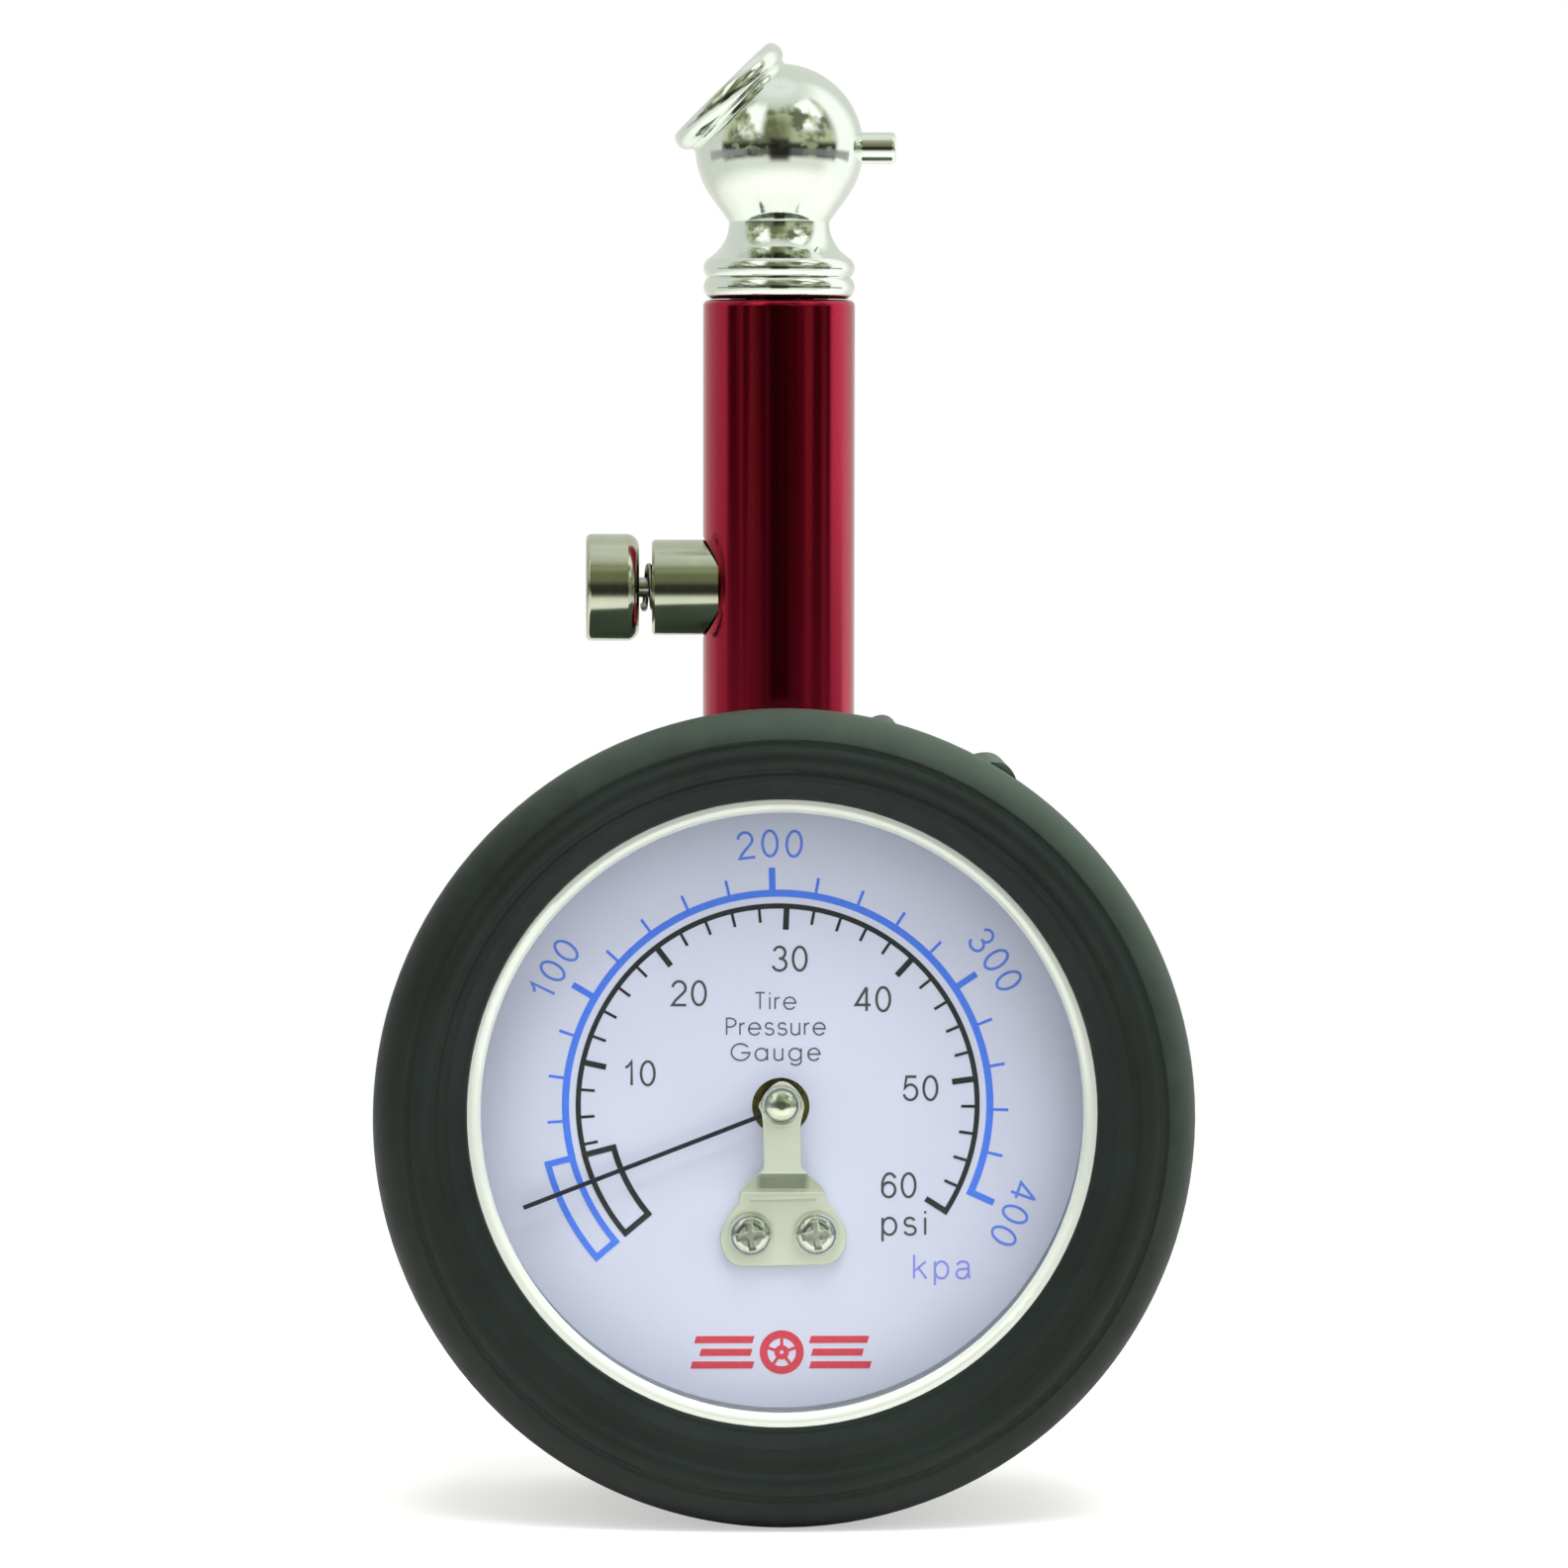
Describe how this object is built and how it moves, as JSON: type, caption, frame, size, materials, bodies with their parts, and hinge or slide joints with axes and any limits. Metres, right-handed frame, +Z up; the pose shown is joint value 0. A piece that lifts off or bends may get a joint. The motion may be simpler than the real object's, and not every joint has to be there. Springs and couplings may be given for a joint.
{
  "type": "tyre pressure gauge",
  "caption": "dial tyre pressure gauge: round rubber-booted head, printed dial with pointer, tall anodised stem with side bleeder button, angled ball chuck",
  "frame": {"origin": "centre of the boot's closed flat back face, on the dial's axis", "axes": "+Z up the stem, the dial faces -Y, +X to the right of the dial as read"},
  "size_m": [0.0638, 0.0309, 0.1157],
  "materials": {
    "boot_rubber": "matte moulded rubber",
    "case_steel": "drawn steel",
    "bezel_steel": "turned bright ring",
    "window": "clear window",
    "gasket_rubber": "soft rubber",
    "retainer_bright": "bright pressed ring",
    "dial_print": "printed dial, satin",
    "bridge_nickel": "satin nickel plate",
    "screw_steel": "plated screw",
    "movement_brass": "stamped brass",
    "bronze_tube": "phosphor bronze",
    "movement_steel": "turned steel",
    "spring_steel": "spring wire",
    "pointer_black": "painted, satin",
    "stem_red": "anodised, glossy",
    "nickel": "nickel plate, turned",
    "chuck_chrome": "polished chrome plate",
    "seal_rubber": "soft rubber"
  },
  "bodies": {
    "gauge_body": {"rubber_boot": "boot_rubber", "case_cup": "case_steel", "bezel_ring": "bezel_steel", "lens": "window", "lens_gasket": "gasket_rubber", "dial_retainer": "retainer_bright", "dial_plate": "dial_print", "bridge": "bridge_nickel", "bridge_screws": "screw_steel", "movement_front_plate": "movement_brass", "movement_rear_plate": "movement_brass", "plate_pillars": "movement_brass", "plate_screws": "screw_steel", "stem_socket": "movement_brass", "hairspring": "spring_steel", "stem_tube": "stem_red", "bleeder_body": "nickel", "bleeder_spring": "spring_steel", "check_spring": "spring_steel", "chuck_body": "chuck_chrome", "chuck_seal": "seal_rubber", "core_depressor": "movement_brass", "nipple_o_ring": "seal_rubber", "deflator_pin": "chuck_chrome"},
    "pointer_spindle": {"pointer": "pointer_black", "pinion_arbor": "movement_steel", "hairspring_collet": "movement_brass"},
    "sector": {"sector_gear": "movement_brass", "sector_arbor": "movement_steel", "link_pin": "movement_steel"},
    "link": {"link_bar": "movement_brass"},
    "pressure_tube": {"bourdon_tube": "bronze_tube", "tube_end_cap": "movement_brass", "tip_pin": "movement_steel"},
    "bleeder_button": {"bleeder_knob": "nickel", "bleeder_stem": "movement_steel", "bleeder_seal": "seal_rubber"},
    "check_valve": {"check_poppet": "movement_brass", "check_seal": "seal_rubber"}
  },
  "joints": [
    {"name": "pointer_turn", "type": "hinge", "parent": "gauge_body", "child": "pointer_spindle", "pos_m": [0, -0.02, 0], "axis": [0, 1, 0], "range_deg": [0, 233.4], "stiffness_Nm_per_rad": 0.000002, "deforming": ["hairspring"]},
    {"name": "sector_turn", "type": "hinge", "parent": "gauge_body", "child": "sector", "pos_m": [-0.00688, -0.0196, -0.01191], "axis": [0, 1, 0], "range_deg": [-23.4, 0.2]},
    {"name": "link_swing", "type": "hinge", "parent": "sector", "child": "link", "pos_m": [-0.01128, -0.01875, -0.011], "axis": [0, 1, 0], "range_deg": [-0.2, 38.2]},
    {"name": "tube_flex", "type": "hinge", "parent": "gauge_body", "child": "pressure_tube", "pos_m": [0.0034, -0.014, 0.0187], "axis": [0, 1, 0], "range_deg": [-4, 0.2]},
    {"name": "bleeder_press", "type": "slide", "parent": "gauge_body", "child": "bleeder_button", "axis": [1, 0, 0], "range_m": [0, 0.0009], "stiffness_N_per_m": 900, "springref_m": -0.002, "deforming": ["bleeder_spring"]},
    {"name": "check_lift", "type": "slide", "parent": "gauge_body", "child": "check_valve", "axis": [0, 0, -1], "range_m": [0, 0.0008], "stiffness_N_per_m": 150, "springref_m": -0.0015, "deforming": ["check_spring"]}
  ],
  "couplings": [
    {"joint": "sector_turn", "follows": "pointer_turn", "ratio": -0.1},
    {"joint": "link_swing", "follows": "pointer_turn", "ratio": 0.16206},
    {"joint": "tube_flex", "follows": "pointer_turn", "ratio": -0.01643}
  ]
}
